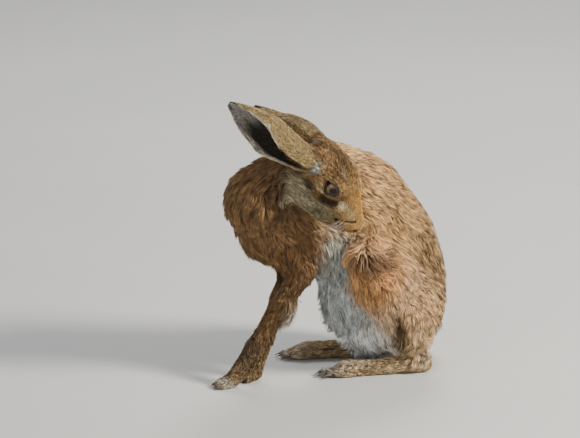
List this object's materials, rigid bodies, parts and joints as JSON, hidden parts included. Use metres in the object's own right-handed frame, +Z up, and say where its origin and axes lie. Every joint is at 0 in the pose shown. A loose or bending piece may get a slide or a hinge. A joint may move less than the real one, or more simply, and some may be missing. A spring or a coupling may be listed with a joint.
{
  "type": "brown hare figure",
  "caption": "Life-size brown hare sitting on its haunches and turned back to groom its left flank, for display.",
  "frame": {"origin": "on the floor, under the middle of the bounding box", "axes": "+Z up; the hare's body faces -X and its left side faces -Y"},
  "size_m": [0.2634, 0.2328, 0.3266],
  "materials": {
    "back_coat": "ticked buff-brown fur, matt",
    "flank_coat": "rust-brown fur, matt",
    "breast_coat": "warm reddish-buff long fur, matt",
    "belly_coat": "long white-grey fur, matt",
    "tail_coat": "black above and white below, fur, matt",
    "eye": "dark amber, wet gloss"
  },
  "bodies": {
    "root": {"head": "back_coat", "neck": "breast_coat", "forearm_left": "flank_coat", "upper_foreleg_left": "flank_coat", "forepaw_left": "flank_coat", "thigh_left": "flank_coat", "shin_left": "flank_coat", "hind_foot_left": "flank_coat", "ear_left": "back_coat", "eye_left": "eye", "forearm_right": "flank_coat", "upper_foreleg_right": "flank_coat", "forepaw_right": "flank_coat", "thigh_right": "flank_coat", "shin_right": "flank_coat", "hind_foot_right": "flank_coat", "ear_right": "back_coat", "eye_right": "eye", "chest": "breast_coat", "belly": "belly_coat", "rump": "back_coat", "tail": "tail_coat"}
  },
  "joints": []
}
